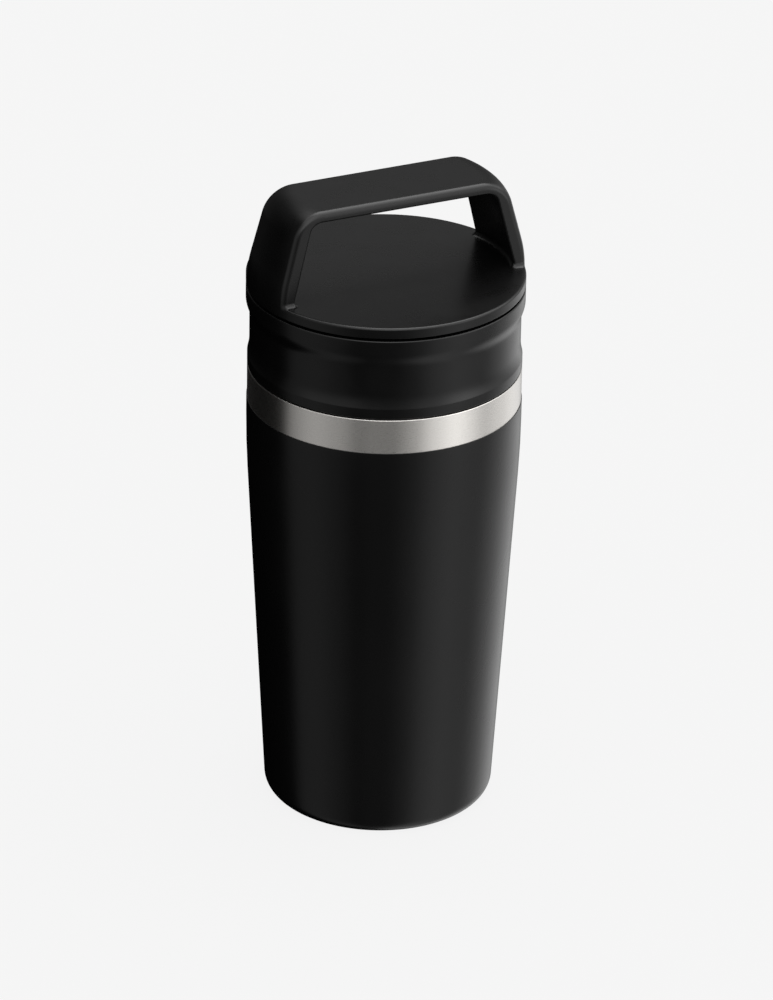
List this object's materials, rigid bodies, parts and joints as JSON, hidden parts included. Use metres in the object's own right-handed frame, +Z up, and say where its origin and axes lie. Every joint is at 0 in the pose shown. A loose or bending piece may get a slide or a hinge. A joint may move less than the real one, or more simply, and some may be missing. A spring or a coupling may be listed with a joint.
{
  "type": "insulated travel mug",
  "caption": "Vacuum-walled steel travel mug with a powder-coated tapered body, bare steel band, screw-on drink-through collar and a screw cap with a moulded arched carry handle.",
  "frame": {"origin": "centre of the foot on the resting plane", "axes": "+Z up along the mug's axis; X along the handle's arch, from leg to leg; Y across the handle's width"},
  "size_m": [0.074, 0.074, 0.1786],
  "materials": {
    "powder_coat": "fine matt powder coat, black",
    "brushed_steel": "stainless, brushed round the axis, bare on the band",
    "liner_steel": "stainless, electropolished inside",
    "cap_plastic": "moulded, satin black",
    "collar_plastic": "moulded, satin black",
    "inner_plastic": "moulded, matt dark grey",
    "silicone": "soft translucent grey silicone",
    "foam": "closed-cell insulating foam",
    "copper": "bright copper foil",
    "getter": "pressed powder, dull",
    "solder_glass": "dark solder glass"
  },
  "bodies": {
    "mug": {"outer_shell": "brushed_steel", "powder_coat": "powder_coat", "inner_liner": "liner_steel", "outer_bottom": "liner_steel", "vacuum_plug": "solder_glass", "getter_pellet": "getter", "getter_clip": "liner_steel", "copper_foil": "copper", "base_cover": "brushed_steel"},
    "collar_stage": {"collar_seal": "silicone"},
    "collar": {"collar_shell": "collar_plastic", "collar_sleeve": "inner_plastic", "splash_guard": "inner_plastic"},
    "cap_stage": {"cap_seal": "silicone"},
    "cap": {"cap_shell": "cap_plastic", "cap_plug": "inner_plastic", "cap_foam": "foam"}
  },
  "joints": [
    {"name": "collar_lift", "type": "slide", "parent": "mug", "child": "collar_stage", "axis": [0, 0, 1], "range_m": [0, 0.012]},
    {"name": "collar_turn", "type": "hinge", "parent": "collar_stage", "child": "collar", "pos_m": [0, 0, 0.1276], "axis": [0, 0, 1], "range_deg": [0, 360]},
    {"name": "cap_lift", "type": "slide", "parent": "collar", "child": "cap_stage", "axis": [0, 0, 1], "range_m": [0, 0.015]},
    {"name": "cap_turn", "type": "hinge", "parent": "cap_stage", "child": "cap", "pos_m": [0, 0, 0.1507], "axis": [0, 0, 1], "range_deg": [0, 450]}
  ],
  "couplings": [
    {"joint": "collar_lift", "follows": "collar_turn", "m_per_rad": 0.0019099},
    {"joint": "cap_lift", "follows": "cap_turn", "m_per_rad": 0.0019099}
  ]
}
